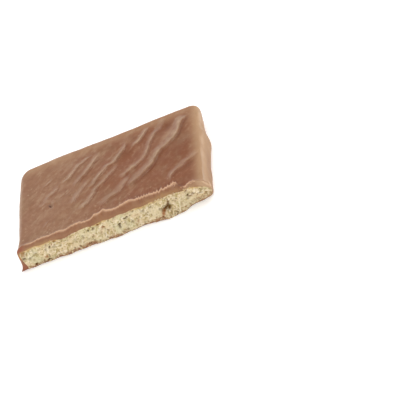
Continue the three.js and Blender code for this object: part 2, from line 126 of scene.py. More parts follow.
# Patches of painted highlight and painted shade on the top: x, y, half length, half breadth, turn
# in degrees, strength.
PALE_PATCHES = [
    (5.6, 26.3, 2.6, 1.0, -42, 0.4), (-16.3, 13.2, 1.0, 0.45, 40, 0.35),
    (-17.0, 9.0, 4, 1.2, -25, 0.15), (-22.8, 7.5, 0.5, 0.3, -20, 0.4),
    (10.5, 18.5, 3.5, 1.5, 60, 0.2), (17.2, 22.0, 3.0, 1.3, 48, 0.55),
    (12.2, 15.4, 2.0, 0.9, 50, 0.3), (-12.4, 15.6, 0.5, 0.35, 40, 0.6),
    (-18.6, 23.0, 0.8, 0.3, 45, 0.45), (-21.0, 21.4, 0.5, 0.3, 60, 0.35),
    (-5.3, 22.6, 1.1, 0.5, 60, 0.45), (21.5, 27.6, 0.8, 0.5, -30, 0.3),
]
DARK_PATCHES = [
    (17.5, 26.2, 1.5, 1.5, 45, 0.9), (5.4, 21.6, 1.9, 1.2, 0, 0.7), (19.5, 15, 5, 5, 0, 0.5),
    (22.3, 7.4, 2.6, 0.9, 35, 0.8), (5, 9.8, 2.5, 1.0, 45, 0.35), (21.5, 2.8, 3, 1.4, 0, 0.4),
    (-16.8, 26.5, 1.2, 0.8, 40, 0.25), (-6.9, 27.8, 0.6, 1.6, 0, 0.35),
    (20.2, 0.8, 0.7, 0.7, 0, 0.9), (-23.5, 2.5, 2.5, 1.5, 0, 0.35), (-24.5, 17, 0.5, 4, 0, 0.1),
]
# Hollows between the ripples: x, y, radius, depth.
HOLLOWS = [
    (17.4, 25.9, 2.0, 0.26), (6.2, 19.9, 2.4, 0.16), (9.6, 22.4, 1.6, 0.12), (22.8, 8, 1.5, 0.1),
    (15, 15, 1.6, 0.12), (12.6, 9.5, 1.8, 0.1), (-1, 24.5, 2.6, 0.14), (4.6, 12.4, 0.8, 0.1),
]
PIT = (-17.3, 12.3, 0.5, 1.0, 0.45)  # burst bubble: x, y, half breadth, half length, depth
# Teeth of the broken lip: x and size.
SPURS = [
    (2.9, 0.5), (5.4, 0.3), (7.6, 0.4), (8.3, 0.8), (9.1, 0.5), (9.8, 0.7), (10.5, 0.5), (11.2, 1),
    (12.4, 0.6), (13.4, 0.9), (14.6, 1), (15.7, 0.5), (16.4, 0.8), (17.3, 0.5), (17.9, 0.9),
]
SPECKS = 60  # small pale specks on the top, each with a painted shadow beside it

# The foot of the snapped face: x, and how far behind y = 0 it lies at the underside.
FOOT = [
    (-19, 0), (-14.5, -0.3), (-11, -0.15), (-6, -0.4), (0, -0.7), (2.5, -0.35), (8.6, -0.3),
    (10.2, -0.85), (14.8, -1.15), (17.8, -0.6), (19.6, 0.3), (24, 1.1), (25.5, 1.4), (27.3, 2.6),
]
# The biscuit's upper and lower edges at the snap: x, and how far off their usual height.
UPPER_EDGE = [
    (-26.5, -0.05), (-22, 0), (-18, -0.1), (-16, -0.35), (-14.6, -0.75), (-13.5, -0.85),
    (-12.3, -0.5), (-11, -0.3), (-8, -0.15), (-4.5, -0.35), (-3, -0.1), (2, -0.25), (14, -0.15),
    (16, -0.05), (20, -0.3), (22, -0.15), (24, -0.95), (25, -1.6), (26, -2.1), (26.8, -2.7),
]
LOWER_EDGE = [
    (-26.5, 0), (-25, -0.15), (-19, -0.15), (-14, 0.1), (-10, 0.2), (-7, 0.15), (-6, -0.3),
    (-3.8, -0.3), (-3, 0.1), (-0.5, 0.1), (1, -0.25), (5, -0.3), (9, -0.1), (12, 0.1), (13, -0.35),
    (18, -0.35), (20, -0.2), (26, -0.1),
]
# How brown the lower edge is and how golden the upper one: x, share.
BROWNING = [
    (-27, 0.6), (-25.4, 0.3), (-24.8, 1.1), (-24.2, 0.3), (-21.9, 0.3), (-21.4, 1), (-20.8, 0.4),
    (-18, 0.7), (-14.8, 0.7), (-14, 0.2), (-13.2, 0.7), (-10.5, 0.9), (-8.5, 1.2), (-6.9, 1),
    (-6, 0.1), (-4, 0.1), (-3, 0.8), (-1, 1), (-0.2, 0.3), (5, 0.15), (8.8, 0.3), (10, 0.9),
    (12.4, 0.9), (13, 0.15), (19, 0.2), (26, 0.35),
]
GOLDEN = [
    (-27, 0.5), (-25, 0.8), (-19, 0.75), (-16.5, 1), (-15, 0.3), (-9, 0.2), (-6, 0.5), (-3.5, 0.9),
    (-1, 0.4), (4, 0.35), (7.5, 0.9), (10, 0.6), (15, 0.5), (19, 0.5), (22.5, 0.9), (25, 0.4),
]

# Pits in the face: x, z, radius across, radius up, depth, how dark their painted shade is, how warm
# their brown is. The first ones form one crevice.
PITS = [
    (15, 5.1, 0.2, 0.5, 0.1, 0.6, 0.3), (14.85, 4.35, 0.36, 0.55, 0.12, 1, 0.2),
    (14.5, 3.65, 0.55, 0.5, 0.12, 1, 0.1), (14.1, 3.1, 0.95, 0.55, 0.15, 1, 0.1),
    (14.5, 2.7, 0.6, 0.5, 0.12, 1, 0.1), (13.5, 2.85, 0.85, 0.5, 0.15, 1, 0.2),
    (12.95, 2.45, 0.65, 0.55, 0.12, 1, 0.6), (12.5, 1.9, 0.55, 0.55, 0.12, 0.9, 1),
    (12.1, 1.15, 0.5, 0.6, 0.12, 0.75, 1), (11.7, 0.45, 0.5, 0.5, 0.1, 0.65, 1),
    (-26.9, 3.7, 0.55, 0.4, 0.45, 0.9, 0), (-25.4, 3.3, 0.65, 0.4, 0.35, 0.6, 0),
    (-24.7, 0.65, 0.42, 0.36, 0.5, 1, 0.4), (-23.4, 4.0, 0.6, 0.6, 0.2, 0.3, 0),
    (-21.3, 0.6, 0.42, 0.3, 0.5, 0.9, 0.3), (-21.2, 1.8, 0.45, 0.42, 0.3, 0.8, 0.9),
    (-20.4, 2.0, 0.28, 0.35, 0.35, 0.7, 0), (-19.1, 4.4, 0.24, 0.45, 0.45, 0.9, 0),
    (-20.3, 4.2, 0.35, 0.55, 0.3, 0.5, 0), (-18.0, 4.0, 0.7, 0.35, 0.3, 0.45, 0),
    (-17.1, 5.75, 0.5, 0.22, 0.35, 1, 0.9), (-12.0, 3.6, 0.6, 0.7, 0.2, 0.3, 0),
    (-9.8, 3.4, 0.35, 0.55, 0.35, 0.5, 0), (-8.6, 2.2, 0.6, 0.4, 0.25, 0.35, 0),
    (-7.6, 4.95, 0.24, 0.38, 0.5, 1, 0), (-6.3, 5.0, 0.34, 0.32, 0.5, 0.9, 0.2),
    (-7.3, 2.5, 0.4, 0.32, 0.3, 0.45, 0), (-4.5, 5.75, 0.5, 0.28, 0.5, 1, 1),
    (-3.7, 4.1, 0.52, 0.32, 0.5, 0.95, 0.8), (-5.4, 0.6, 0.5, 0.35, 0.4, 0.5, 0),
    (-1.0, 3.2, 0.3, 0.35, 0.25, 0.4, 0), (0.5, 3.1, 0.48, 0.32, 0.5, 1, 0),
    (0.4, 2.5, 0.32, 0.42, 0.4, 0.7, 0), (0.4, 0.7, 0.5, 0.4, 0.4, 0.5, 0),
    (3.3, 4.7, 0.34, 0.36, 0.45, 1, 0), (2.7, 4.3, 0.4, 0.24, 0.4, 1, 0),
    (4.3, 4.8, 0.26, 0.24, 0.35, 0.7, 0), (2.3, 3.1, 0.35, 0.55, 0.3, 0.4, 0),
    (4.1, 2.5, 0.34, 0.34, 0.3, 0.5, 0), (7.8, 4.7, 0.6, 0.5, 0.3, 0.5, 0),
    (8.3, 3.3, 0.5, 0.5, 0.2, 0.3, 0), (12.0, 3.1, 0.34, 0.4, 0.3, 0.5, 0),
    (16.1, 4.1, 0.34, 0.22, 0.3, 0.6, 0), (17.2, 4.4, 0.32, 0.26, 0.35, 0.7, 0),
    (16.6, 3.7, 0.34, 0.22, 0.25, 0.5, 0), (15.5, 0.7, 0.5, 0.4, 0.4, 0.8, 0),
    (20.2, 4.0, 0.3, 0.45, 0.3, 0.9, 0), (20.7, 3.5, 0.7, 0.32, 0.25, 0.8, 0.4),
    (21.8, 3.9, 0.4, 0.28, 0.3, 0.9, 0.1), (19.9, 3.0, 0.34, 0.36, 0.3, 0.5, 0),
    (20.3, 5.6, 0.4, 0.26, 0.3, 0.7, 0.4), (23.3, 3.5, 0.7, 0.32, 0.3, 0.5, 0),
    (24.7, 2.4, 0.32, 0.42, 0.4, 0.8, 0.6), (24.0, 1.9, 0.36, 0.3, 0.3, 0.7, 0.7),
    (17.8, 2.4, 0.3, 0.6, 0.25, 0.35, 0.4),
]
SMALL_PITS = 520

# ---- helpers


def mix(a, b, t):
    return a + (b - a) * t


def ramp(x, low, high):
    """From 0 at low smoothly to 1 at high, whichever is larger."""
    t = np.clip((x - low) / (high - low), 0, 1)
    return t * t * (3 - 2 * t)


def plateau(x, low, full, end, gone):
    """Rises from low to full, and falls again from end to gone."""
    return ramp(x, low, full) * ramp(x, gone, end)


def bell(x, centre, width):
    return np.exp(-(((x - centre) / width) ** 2))


def turned(x, y, angle):
    """Along and across a direction."""
    c, s = math.cos(angle), math.sin(angle)
    return x * c + y * s, y * c - x * s


def course(points, x):
    """A smooth curve through (x, value) points, held level beyond its ends."""
    at, value = np.array(points, dtype=float).T
    here = np.arange(len(at))
    before, after = np.maximum(here - 1, 0), np.minimum(here + 1, here[-1])
    slope = (value[after] - value[before]) / (at[after] - at[before])
    x = np.clip(x, at[0], at[-1])
    k = np.clip(np.searchsorted(at, x, side="right") - 1, 0, here[-1] - 1)
    span = at[k + 1] - at[k]
    t = (x - at[k]) / span
    bend = slope[k] * t * (1 - t) ** 2 - slope[k + 1] * t * t * (1 - t)
    return value[k] * (1 + 2 * t) * (1 - t) ** 2 + value[k + 1] * t * t * (3 - 2 * t) + span * bend


class Noise:
    """Smooth repeatable noise between -1 and 1, from a seeded lattice."""

    SIZE = 32
    LAYER_SHIFT = 5  # moves the layers apart

    def __init__(self, seed):
        self.lattice = np.random.default_rng(seed).uniform(-1, 1, (self.SIZE,) * 3)

    def __call__(self, x, y, z=0.0):
        axes = []
        for v in np.broadcast_arrays(x, y, z):
            cell = np.floor(v).astype(int)
            part = v - cell
            axes.append((cell % self.SIZE, (cell + 1) % self.SIZE, part * part * (3 - 2 * part)))
        total = 0.0
        for corner in range(8):
            weight, index = 1.0, []
            for bit, (low, high, part) in enumerate(axes):
                upper = corner >> bit & 1
                index.append(high if upper else low)
                weight = weight * (part if upper else 1 - part)
            total = total + weight * self.lattice[tuple(index)]
        return total

    def layers(self, x, y, z=0.0, count=2):
        """With finer and weaker copies on top."""
        total = 0.0
        for octave in range(count):
            grow = 2.0**octave
            total = total + self(x * grow + self.LAYER_SHIFT * octave, y * grow, z * grow) / grow
        return total


slow = Noise(3)
fine = Noise(4)
grain = Noise(12)
bit_grain = Noise(22)

# ---- relief of the chocolate

SEED_STEP = 13.7  # sets the ripples' noises apart
BACK_POWER = 1.5  # how hollow a ripple's back is
PALE_REACH, PALE_POWER, PALE_FRONT = 1.25, 1.3, 0.16  # the painted highlight on the back, by its width
LINE_DEPTH = 1.5  # of the painted shade line before the front
STREAK_CALM, CALM_X = 0.35, (8, 16)  # the streaks fade to this share between these x
SPUR_WIDTH, SPUR_SETBACK = 0.17, 0.4
TEETH_ZONE = (6, 9, 18, 20)  # x where the lip is most ragged
PIT_TURN, HOLE_TURN = (0.45, 0.9), (0.5, 0.85)  # of the burst bubble and the painted shade in its hole
BURR_HEIGHT, BURR_LENGTH = 0.3, 0.45


def diagonal(x, y):
    """Along and across the ripples."""
    return (x + y) / math.sqrt(2), (x - y) / math.sqrt(2)


def ripple_frame(number, x, y):
    """Distance off a crest, how whole the ripple is there, and the share along it."""
    line = sorted(diagonal(px, py) for px, py in RIPPLES[number][0])
    along, across = diagonal(x, y)
    seed = SEED_STEP * number
    off = across - course(line, along) + 0.2 * slow(x / 1.3, y / 1.3, seed)
    off = off + 0.08 * fine(x / 0.5, y / 0.5, seed)
    first, last = line[0][0], line[-1][0]
    whole = plateau(along, first, first + FADE, last - FADE, last)
    whole = whole * (1 + 0.3 * slow(along / 1.7, seed))
    return off, whole, np.clip((along - first) / (last - first), 0, 1)


def ripple_height(x, y):
    z = 0
    for number, (_, width, rise, _, _) in enumerate(RIPPLES):
        off, whole, _ = ripple_frame(number, x, y)
        back = np.clip(1 + off / width, 0, 1) ** BACK_POWER
        z = z + rise * whole * np.where(off < 0, back, 1 - ramp(off, 0, width * STEEP))
    return z


def patches(places, x, y):
    total = np.zeros_like(x)
    for px, py, length, breadth, turn, strength in places:
        along, across = turned(x - px, y - py, math.radians(turn))
        total = total + strength * np.exp(-((along / length) ** 2 + (across / breadth) ** 2))
    return total


def ripple_tones(x, y):
    """Painted highlights on the ripples' backs, and painted shade before their fronts."""
    pale, dark = patches(PALE_PATCHES, x, y), patches(DARK_PATCHES, x, y)
    for number, (_, width, rise, low, high) in enumerate(RIPPLES):
        off, whole, way = ripple_frame(number, x, y)
        back = np.clip(1 + off / (PALE_REACH * width), 0, 1) ** PALE_POWER
        front = ramp(off, PALE_FRONT * width, 0)
        pale = np.maximum(pale, mix(low, high, way) * whole * np.where(off < 0, back, front))
        line = bell(off, 0.2 * width + 0.2, 0.16 * width + 0.2)
        dark = np.maximum(dark, LINE_DEPTH * rise * whole * line)
    uneven = 1 + 0.35 * slow.layers(x / 1.1, y / 1.1, 5)
    streak = slow.layers((x + y) / 3.4, (x - y) / 1.6, 17, count=3)
    strength = STREAKS * mix(1, STREAK_CALM, ramp(x, *CALM_X))
    pale = np.maximum(pale, strength * ramp(streak, 0.1, 1.0))
    dark = np.maximum(dark, strength * ramp(-streak, 0.1, 1.0))
    return np.clip(pale * uneven, 0, 1), np.clip(dark, 0, 1) * (1 - np.clip(pale, 0, 1))


def spurs(x):
    return sum(size * bell(x, at, SPUR_WIDTH) for at, size in SPURS)


def lip_setback(x):
    size = 0.08 + 0.1 * plateau(x, *TEETH_ZONE)
    return course(LIP, x) + size * fine.layers(x / 0.45, 0.3) + SPUR_SETBACK * spurs(x)


def behind_lip(x, y):
    return np.maximum(0, y - lip_setback(x))


def face_setback(x, z):
    return 0.12 * np.sin(1.3 * x) + course(FOOT, x) * ramp(z, BELLY, 1)


def snap_setback(x, z):
    up = ramp(z, HEIGHT - TOP_COAT - 0.5, HEIGHT - 0.2)
    over_shoulder = ramp(-x, WIDTH / 2 - 1.4 * SHOULDER[0], WIDTH / 2)
    return mix(face_setback(x, z), lip_setback(x) * mix(1, 0.35, over_shoulder), up)


def pit_frame(x, y, c, s):
    """Along and across the burst bubble."""
    px, py = PIT[:2]
    return (x - px) * c - (y - py) * s, (x - px) * s + (y - py) * c


def bubble_height(x, y):
    """Its hole, and the low ridge beside it."""
    along, across = pit_frame(x, y, *PIT_TURN)
    _, _, breadth, length, depth = PIT
    hole = np.exp(-((across / breadth) ** 2 + (along / length) ** 2) ** 1.5)
    return 0.15 * bell(across, 1.2, 0.5) * bell(along, 0, 1.2) - depth * hole


def burr_height(x, y):
    """The burr that the snap pulled up."""
    ragged = 1 + 0.6 * fine.layers(x / 0.55, 2.2)
    reach = BURR_LENGTH + SPUR_SETBACK * spurs(x)
    return BURR_HEIGHT * ragged * np.exp(-behind_lip(x, y) / reach)


def top_height(x, y):
    swell = np.sin(0.233 * x) * np.cos(0.19 * y) + 0.5 * np.sin(0.5 * y + 0.314 * x)
    z = HEIGHT + 0.1 * swell + ripple_height(x, y) + bubble_height(x, y)
    for hx, hy, radius, depth in HOLLOWS:
        z = z - depth * np.exp(-((x - hx) ** 2 + (y - hy) ** 2) / radius**2)
    along, across = diagonal(x, y)
    z = z + 0.03 * slow(along / 3.5, across / 1.8, 7) * ramp(x, -24, -6)
    return z + 0.02 * slow.layers(x / 1.5, y / 1.5, 3, count=3) + burr_height(x, y)


def wall_lump(x, y, z):
    s = x + 1.3 * y
    lump = np.sin(0.41 * s + 0.53 * z) + 0.7 * np.sin(0.97 * (s - z)) * np.sin(0.233 * s)
    return 0.1 * lump + 0.04 * slow.layers(x / 2.4, y / 2.4, z / 2.4)


def wall_reach(x, y, z, nx, ny):
    """How far the wall stands out where it faces (nx, ny)."""
    left, right = np.maximum(0, -nx), np.maximum(0, nx)
    swell = course(LEFT_WALL, y) * left + course(RIGHT_WALL, y) * right + course(BACK_WALL, x) * ny
    reach, height = LEFT_FOOT
    foot = reach * (0.85 + 0.15 * np.cos(0.45 * y)) * (1 - 0.5 * ramp(y, 18, DEPTH))
    ooze = 0.5 + 0.5 * np.sin(0.37 * x + 0.7) * np.sin(0.21 * x + 2.1)
    lump = wall_lump(x, y, z) * mix(1, 0.35, left + right)
    low = left * foot * np.exp(-z / height) + 0.5 * ny * ooze * np.exp(-z / 0.9)
    return lump + swell + low


def lean(y, nx, z):
    """How far the right wall's rear falls back under itself."""
    slope, from_z, to_z = LEAN
    rear = ramp(y, 19, 27) * np.maximum(0, nx) ** 2
    return slope * np.maximum(0, from_z - np.maximum(z, to_z)) * rear


# ---- outlines


def wall_levels(shape, end, steps):
    """Inset and height of each row of the wall from the belly to one end."""
    run, power = shape
    angles = np.linspace(0, np.pi / 2, steps + 1)
    return [(run * (1 - max(math.cos(a), 0) ** (2 / power)),
             mix(BELLY, end, math.sin(a) ** (2 / power))) for a in angles]


class Envelope:
    """A tray shape: the coating's outside, its cavity, or the biscuit."""

    def __init__(self, shrink, top, base, shoulder, undercut, rows, columns, upper, lower):
        self.width, self.depth = WIDTH - 2 * shrink, DEPTH - shrink
        self.corner = CORNER - 0.5 * shrink
        self.top, self.base = top, base
        self.rows, self.columns = rows, columns  # shares of the side and of the back
        upper = wall_levels(shoulder, top, upper)[::-1]
        self.levels = upper + wall_levels(undercut, base, lower)[1:]

    def outline(self, inset):
        """Points and outward directions round the left, back and right."""
        r = max(self.corner - inset, 1e-6)
        side = self.depth - self.corner
        eighth = r * np.pi / 4
        corner_x = self.width / 2 - self.corner
        s = self.rows * (side + eighth)
        angle = np.maximum(s - side, 0) / r
        flank = np.stack([corner_x + r * np.cos(angle), np.minimum(s, side) + r * np.sin(angle),
                          np.cos(angle), np.sin(angle)])
        back = self.width - 2 * self.corner
        s = self.columns * (back + 2 * eighth) - eighth
        turn = np.pi / 2 + np.where(s < 0, -s, np.where(s > back, back - s, 0)) / r
        middle = np.stack([np.clip(s, 0, back) - corner_x + r * np.cos(turn),
                           side + r * np.sin(turn), np.cos(turn), np.sin(turn)])
        mirror = np.array([[-1], [1], [-1], [1]])
        return np.concatenate([flank * mirror, middle[:, 1:-1], flank[:, ::-1]], axis=1)


def snapped(y, setback):
    return y + setback * ramp(y, SNAP_DECAY, 0)


# ---- mesh assembly


class Skin:
    """Points and faces of a mesh in the making."""

    def __init__(self):
        self.points, self.count, self.faces = [], 0, []

    def add(self, x, y, z):
        """Adds points and returns their vertex numbers."""
        places = np.stack(np.broadcast_arrays(x, y, z), axis=-1)
        numbers = self.count + np.arange(places.size // 3).reshape(places.shape[:-1])
        self.points.append(places.reshape(-1, 3))
        self.count += numbers.size
        return numbers

    def all_points(self):
        return np.concatenate(self.points)

    def sheet(self, rows):
        quads = np.stack([rows[:-1, :-1], rows[:-1, 1:], rows[1:, 1:], rows[1:, :-1]], axis=-1)
        self.faces += quads.reshape(-1, 4).tolist()

    def band(self, a, b):
        quads = np.stack([a[:-1], b[:-1], b[1:], a[1:]], axis=-1)
        self.faces += quads.tolist()

    def ring(self, a, b):
        self.band(np.append(a, a[0]), np.append(b, b[0]))

    def zip(self, a, b):
        """Joins two rows of different length that start and end together."""
        i = j = 0
        while i + 1 < len(a) or j + 1 < len(b):
            behind = i + 1 < len(a) and (i + 1) / len(a) < (j + 1) / len(b)
            step_a = j + 1 == len(b) or behind
            triangle = [int(a[i]), int(b[j]), int(a[i + 1] if step_a else b[j + 1])]
            if len(set(triangle)) == 3:
                self.faces.append(triangle)
            i, j = i + step_a, j + (not step_a)

    def take_lining(self, inner):
        """Takes in a skin turned inside out, and returns its first vertex number."""
        first = self.count
        self.points += inner.points
        self.count += inner.count
        self.faces += [[n + first for n in reversed(face)] for face in inner.faces]
        return first

    def build(self, name, surface, **values):
        mesh = bpy.data.meshes.new(name)
        mesh.from_pydata((self.all_points() + offset) * MM, [], self.faces)
        mesh.shade_smooth()
        mesh.materials.append(surface)
        for key, value in values.items():
            layer = mesh.attributes.new(key, "FLOAT", "POINT")
            layer.data.foreach_set("value", np.asarray(value, dtype=np.float32))
        return add_object(name, mesh)


def add_object(name, data):
    thing = bpy.data.objects.new(name, data)
    bpy.context.collection.objects.link(thing)
    return thing


def wall_rows(skin, envelope, place):
    return [skin.add(*place(*envelope.outline(inset), inset, z)) for inset, z in envelope.levels]


def snap_loop(rows, top_row, base_row):
    """The vertex numbers once round an open snap."""
    left = [row[0] for row in reversed(rows)]
    right = [row[-1] for row in rows]
    return np.concatenate([left, top_row[1:-1], right, base_row[1:-1][::-1]])


# ---- the core: cavity and biscuit

CORE_SIDES, CORE_BACKS = 12, 24  # steps along its sides and its back


def face_warp(x, z):
    """Unevenness of the biscuit's upper and lower edges at the snap."""
    top = course(UPPER_EDGE, x) + 0.07 * slow.layers(x / 0.9, 4.0)
    base = course(LOWER_EDGE, x) + 0.12 * slow.layers(x / 0.8, 9.0, count=3)
    return z + top * ramp(z, BELLY, HEIGHT - TOP_COAT) + base * ramp(z, 2.2, BASE_COAT)


def drawn_in(x, y, nx, ny):
    right, back = np.minimum(0, course(RIGHT_WALL, y)), np.minimum(0, course(BACK_WALL, x))
    return -right * np.maximum(0, nx) - back * ny


def place_core(x, y, nx, ny, inset, z):
    tuck = CORE_TUCK * ramp(y, 0.6, 3) * ramp(z, BELLY, BASE_COAT)
    close = np.maximum(ramp(y, 0.2, 2), mix(1, 0.4, ramp(z, 1.5, BELLY)))
    fall = lean(y, nx, z) + drawn_in(x, y, nx, ny) * close + tuck
    flare, length = CORE_FLARE
    x = x - nx * fall + (CORE_LEFT + flare * bell(y, 0, length)) * np.minimum(nx, 0)
    y = snapped(y - ny * fall, face_setback(x, z))
    return x, y, mix(z, face_warp(x, z), 1 - ramp(y, 1, 4))


def core_skin(bury, columns, upper, lower):
    """The core's walls, and the places of its face between them."""
    sides, backs = np.linspace(0, 1, CORE_SIDES + 1), np.linspace(0, 1, CORE_BACKS + 1)
    core = Envelope(SIDE_COAT - bury, HEIGHT - TOP_COAT + bury, BASE_COAT - bury, BISCUIT_SHOULDER,
                    BISCUIT_UNDERCUT, sides, backs, upper, lower)
    skin = Skin()
    walls = wall_rows(skin, core, place_core)
    for above, below in zip(walls[:-1], walls[1:]):
        skin.band(above, below)
    ends = skin.all_points()
    across = np.linspace(0, 1, columns + 1)[1:-1]
    x = np.stack([mix(ends[wall[0]][0], ends[wall[-1]][0], across) for wall in walls])
    z = np.broadcast_to(np.array([level for _, level in core.levels])[:, None], x.shape)
    return core, skin, walls, x, z


# ---- the coating

ROW_COUNT, COLUMN_COUNT = 180, 330
WALL_UPPER, WALL_LOWER = 14, 8  # rows of faces over and under the belly
FLAT_RINGS, BREAK_ROWS = 4, 13  # round the top's middle, and over the broken edge
NEAR = 0.5  # rows are this much finer at the snap than on average

way_back = np.linspace(0, 1, ROW_COUNT + 1)
OUT_ROWS = way_back * mix(NEAR, 1, ramp(way_back, 0, 0.45))
OUT_ROWS = OUT_ROWS / OUT_ROWS[-1]
outside = Envelope(0, HEIGHT, 0, SHOULDER, UNDERCUT, OUT_ROWS, np.linspace(0, 1, COLUMN_COUNT + 1),
                   WALL_UPPER, WALL_LOWER)


def place_outside(x, y, nx, ny, inset, z):
    run = SHOULDER[0]
    near = 1 - ramp(inset, 0.4, run) if z > BELLY else 1
    push = (wall_reach(x, y, z, nx, ny) - lean(y, nx, z)) * near
    if z > BELLY:
        crease = RIGHT_CREASE * min(inset, run) * ramp(inset, CORNER, run)
        push = push + crease * np.maximum(0, nx) ** 2
    x = x + nx * push
    y = snapped(y + ny * push, snap_setback(x, z))
    relief = (top_height(x, y) - HEIGHT) * ramp(inset, 0, run) if z > BELLY else 0
    return x, y, z + relief


def coating_top(skin):
    edge = outside.width / 2 - outside.corner
    x = np.linspace(-edge, edge, COLUMN_COUNT + 1)[None, :]
    y = OUT_ROWS[:, None] * (outside.depth - outside.corner)
    y = snapped(y, snap_setback(x, HEIGHT))
    grid = skin.add(x, y, top_height(x, y))
    skin.sheet(grid)
    rings = [np.concatenate([grid[:, 0], grid[-1, 1:-1], grid[::-1, -1]])]
    for inset in np.linspace(outside.corner, SHOULDER[0], FLAT_RINGS + 2)[1:-1]:
        rings.append(skin.add(*place_outside(*outside.outline(inset), inset, HEIGHT)))
    return grid, rings


def coating_outside(skin, steps):
    """Returns the loop round the open snap."""
    grid, rings = coating_top(skin)
    walls = wall_rows(skin, outside, place_outside)
    for upper, lower in zip((rings + walls)[:-1], (rings + walls)[1:]):
        skin.band(lower, upper)
    points, base = skin.all_points(), walls[-1]
    x = mix(points[base[0]][0], points[base[-1]][0], np.linspace(0, 1, steps + 1)[1:-1])
    base_row = np.concatenate([base[:1], skin.add(x, snap_setback(x, 0), 0), base[-1:]])
    skin.zip(base_row, base)
    left, right = [ring[0] for ring in rings[:0:-1]], [ring[-1] for ring in rings[1:]]
    return snap_loop(walls, np.concatenate([[0], left, grid[0], right, [0]]), base_row)


def coating_cavity(skin, steps):
    """The hollow that holds the biscuit; returns the loop round its mouth."""
    _, inner, inside, x, z = core_skin(0, steps, WALL_UPPER, WALL_LOWER)
    rows = []
    for n in (0, -1):
        middle = inner.add(x[n], face_setback(x[n], z[n]), face_warp(x[n], z[n]))
        rows.append(np.concatenate([inside[n][:1], middle, inside[n][-1:]]))
    inner.zip(inside[0], rows[0])
    inner.zip(rows[1], inside[-1])
    return snap_loop(inside, rows[0], rows[1]) + skin.take_lining(inner)


def break_edge(skin, outer, hollow):
    """Rough chocolate from outside to cavity; returns each point's share of that way."""
    points = skin.all_points()
    start, end = points[outer], points[hollow]
    breadth = np.minimum(1, np.linalg.norm(end - start, axis=1))
    shares = [np.zeros(skin.count)]
    previous = outer
    for t in np.arange(1, BREAK_ROWS) / BREAK_ROWS:
        p = mix(start, end, t)
        rough = fine.layers(p[:, 0] / 0.7, p[:, 1] / 0.7, p[:, 2] / 0.45, count=3)
        swell = (0.05 * rough + 0.1) * math.sin(math.pi * t) * breadth
        loop = skin.add(p[:, 0], p[:, 1] - swell, p[:, 2] + 0.6 * swell)
        shares.append(np.full(len(loop), t))
        skin.ring(previous, loop)
        previous = loop
    skin.ring(previous, hollow)
    return np.concatenate(shares)


def build_coating():
    skin = Skin()
    steps = COLUMN_COUNT + 2 * FLAT_RINGS + 2
    outer = coating_outside(skin, steps)
    hollow = coating_cavity(skin, steps)
    snap_from = skin.count
    depth_in = break_edge(skin, outer, hollow)
    snap = np.zeros(skin.count)
    snap[snap_from:] = snap[hollow] = 1
    return skin, coating_tones(skin.all_points(), snap, depth_in)


# ---- tones of the coating

# Where each tone begins and is full, in mm; with four numbers it ends and is gone again.
TOP_FROM = HEIGHT - 0.6
LIP_BAND, WALL_BAND = (HEIGHT - 1.6, HEIGHT - 0.9), (TOP_FROM, HEIGHT - 1.6)
LIP_BREADTH, LIP_SHARE = 0.28, 0.24  # of the pale lip, scuffed and with a painted highlight on its burr: on the top in mm, and of the break
LINE_BREADTH, LINE_BAND, LINE_REACH = 0.26, (2.8, 3.4, 6.9, 7.3), 1.2  # painted highlight line down the right end: x, z, y
SHADOW, SHADOW_X = (1.15, 0.4), (2, 6, 18, 20)  # centre and width behind the lip
# Paler towards the left: partly fat bloom, partly painted light.
BLOOM_AND_LIGHT_X, BLOOM_AND_LIGHT_TILT = (12, -14), 0.15
TAN_RIGHT, TAN_BACK, TAN_LEFT = (22.4, 26.6), (26.5, 30), (-25.6, -26.8)  # painted light on the right wall, the back and the left wall: x, y, x
FOOT_X, FOOT_Y, FOOT_Z = (26, 27), (16, 9), (6, 3.5)  # less painted light on the foot at the right
# Painted highlight along the right and rear shoulders.
RIM, RIM_X, RIM_Y = (HEIGHT - 0.8, 0.9), (25.4, 26.8), (3, 12)
REAR_RIM_X, REAR_RIM_Y = (5, 9), (30.4, 31.2)
CRUST, CRUST_RIGHT, CRUST_LEFT = (0.35, 0.95), (6, 13), (-15, -20)  # share of the break, x, x
END_PALE, END_PALER = (20.2, 21.5), (23, 25)  # x
RED_X, RED_UP, RED_LOW = (-24.5, -26.5), (6, 6.8), (3, 1.5)
THIN_X, THIN_Z = (-25.5, -26.8), (3.2, 4.2, 5.6, 6.4)


def specks(x, y):
    """Pale specks with painted shadows beside them, most of them just behind the lip."""
    random = np.random.default_rng(41)
    pale, dark = np.zeros_like(x), np.zeros_like(x)
    for number in range(SPECKS):
        at = random.uniform(-26, 19)
        away = lip_setback(np.array([at]))[0] + 0.5 + 3 * random.random() ** 2
        if number % 3 == 0:
            at, away = random.uniform(-26, -4), random.uniform(4, 26)
        size, side = random.uniform(0.13, 0.26), random.choice([-1, 1])
        spot = bell(np.hypot(x - at, y - away), 0, size)
        pale = np.maximum(pale, random.uniform(0.3, 0.9) * spot)
        beside = np.hypot(x - at - 0.4 * side, y - away - 0.15)
        dark = np.maximum(dark, random.uniform(0.2, 0.8) * bell(beside, 0, 1.3 * size))
    return pale, dark


# The pale broken lip, scuffed and with a painted highlight on the burr's crest, and the painted
# highlight line down the right end.
def lip_tones(x, y, z, snap, depth_in):
    ragged = 1 + 0.4 * fine.layers(x / 0.5, y / 0.5, 6)
    reach = (LIP_BREADTH + SPUR_SETBACK * spurs(x)) * ragged
    crest, broken = bell(behind_lip(x, y), 0, reach), np.clip(1 - depth_in / LIP_SHARE, 0, 1)
    lip = np.where(snap > 0, broken, crest) * ramp(z, *LIP_BAND) * course(LIP_PALE, x)
    line = bell(x, course(END_LINE, z), LINE_BREADTH) * plateau(z, *LINE_BAND)
    return lip, line * (y < LINE_REACH)


